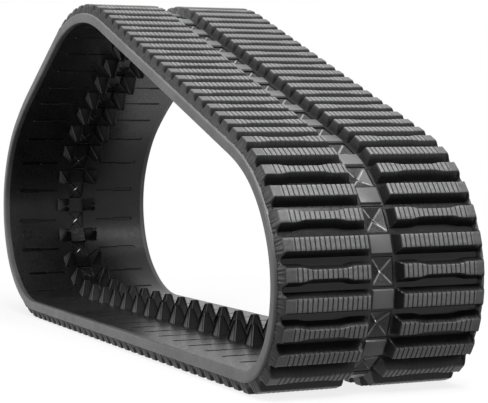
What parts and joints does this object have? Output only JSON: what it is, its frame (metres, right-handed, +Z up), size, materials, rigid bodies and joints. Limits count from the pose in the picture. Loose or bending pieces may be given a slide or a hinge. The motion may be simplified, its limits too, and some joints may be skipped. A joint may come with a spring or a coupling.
{
  "type": "rubber track",
  "caption": "Endless all-rubber track for a compact track loader, with paired tread bars outside and two rows of drive lugs inside.",
  "frame": {"origin": "on the ground, under the middle of the track's length and width", "axes": "+X along the track towards its lower front bend, +Y to the right side, +Z up"},
  "size_m": [2.1688, 0.4572, 0.8746],
  "materials": {
    "outer_rubber": "semi-gloss moulded rubber",
    "tread_rubber": "semi-gloss moulded rubber, ribbed crests",
    "pad_rubber": "satin moulded rubber",
    "inner_rubber": "satin moulded rubber",
    "lug_rubber": "satin moulded rubber",
    "edge_rubber": "satin trimmed edge",
    "bed_rubber": "matt calendered rubber",
    "ply_fabric": "rubberised cord fabric",
    "tension_cord": "twisted fibre cord",
    "rod_plastic": "pultruded fibre rod"
  },
  "bodies": {
    "root": {"carcass_core": "bed_rubber", "centre_pads": "pad_rubber", "centre_strip": "inner_rubber", "cord_bed": "bed_rubber", "drive_lugs_left": "lug_rubber", "drive_lugs_right": "lug_rubber", "edge_band_left": "edge_rubber", "edge_band_right": "edge_rubber", "inner_bias_ply": "ply_fabric", "outer_bias_ply": "ply_fabric", "outer_cover": "outer_rubber", "relief_webs": "pad_rubber", "stiffener_rods": "rod_plastic", "straight_bars_left": "tread_rubber", "straight_bars_right": "tread_rubber", "tension_cords_left": "tension_cord", "tension_cords_right": "tension_cord", "transverse_ply": "ply_fabric", "waisted_bars_left": "tread_rubber", "waisted_bars_right": "tread_rubber", "wheel_path_left": "inner_rubber", "wheel_path_right": "inner_rubber"}
  },
  "joints": []
}
